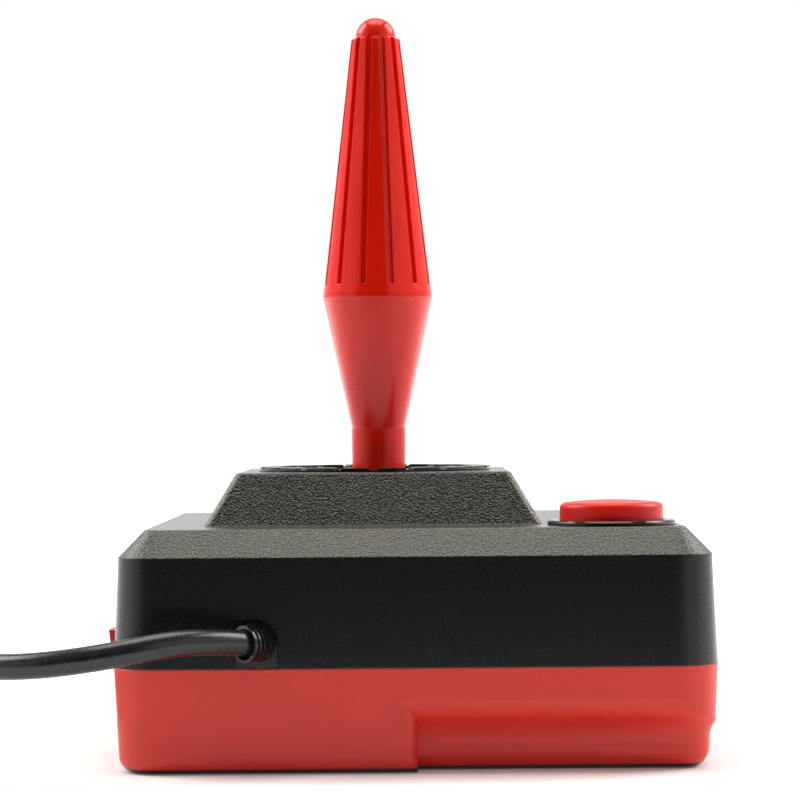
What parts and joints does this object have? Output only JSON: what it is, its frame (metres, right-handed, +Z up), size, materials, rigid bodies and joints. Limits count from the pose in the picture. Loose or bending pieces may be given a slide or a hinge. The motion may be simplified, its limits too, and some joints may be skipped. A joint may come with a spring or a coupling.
{
  "type": "joystick controller",
  "caption": "Square-based hand-held game joystick with a tilting grooved stick, a round push button, a slide switch and a lead with a D-shaped plug.",
  "frame": {"origin": "middle of the flat base, on the surface that it stands on", "axes": "+Z up along the upright stick; -Y is the face that the lead leaves through; +X to the right when that face is looked at"},
  "size_m": [0.2064, 0.1273, 0.1274],
  "materials": {
    "red_case": "fine matte grain",
    "red_stick": "satin",
    "black_case": "fine pebble grain",
    "black_gloss": "smooth",
    "pale_plastic": "satin",
    "steel": "plain",
    "switch_plastic": "satin",
    "board": "lacquered",
    "rubber": "satin",
    "lead_sheath": "satin",
    "wire": "satin",
    "plug_plastic": "fine matte grain",
    "plug_metal": "plated"
  },
  "bodies": {
    "base": {"bottom_shell": "red_case", "top_shell": "black_case", "collar_ring": "black_case", "bearing_caps": "black_case", "bearing_screws": "steel", "button_bezel": "black_gloss", "fire_spring": "steel", "direction_switches": "switch_plastic", "fire_switch": "switch_plastic", "slide_switch_body": "switch_plastic", "circuit_board": "board", "board_screws": "steel", "case_screws": "steel", "strain_relief": "rubber", "lead_tail": "lead_sheath", "lead_header": "pale_plastic", "lead_wires": "wire", "cable_lead": "lead_sheath", "cable_tail": "lead_sheath", "cable_coil": "lead_sheath", "coil_tie": "rubber", "plug_hood": "plug_plastic", "plug_shell": "plug_metal", "plug_insert": "plug_plastic"},
    "gimbal": {"gimbal_ring": "pale_plastic"},
    "stick": {"stick": "red_stick", "dust_dome": "black_case", "cross_pin": "steel", "actuator_plate": "pale_plastic", "actuator_screw": "steel"},
    "button": {"fire_button": "red_stick"},
    "knob": {"switch_knob": "red_case"}
  },
  "joints": [
    {"name": "tilt_x", "type": "hinge", "parent": "base", "child": "gimbal", "pos_m": [-0.00625, 0, 0.036], "axis": [1, 0, 0], "range_deg": [-12, 12], "stiffness_Nm_per_rad": 0.6},
    {"name": "tilt_y", "type": "hinge", "parent": "gimbal", "child": "stick", "pos_m": [-0.00625, 0, 0.036], "axis": [0, 1, 0], "range_deg": [-12, 12], "stiffness_Nm_per_rad": 0.6},
    {"name": "button_press", "type": "slide", "parent": "base", "child": "button", "axis": [0, 0, -1], "range_m": [0, 0.0016], "stiffness_N_per_m": 400, "springref_m": -0.0015, "deforming": ["fire_spring"]},
    {"name": "switch_slide", "type": "slide", "parent": "base", "child": "knob", "axis": [0, 1, 0], "range_m": [-0.0025, 0.0025]}
  ]
}
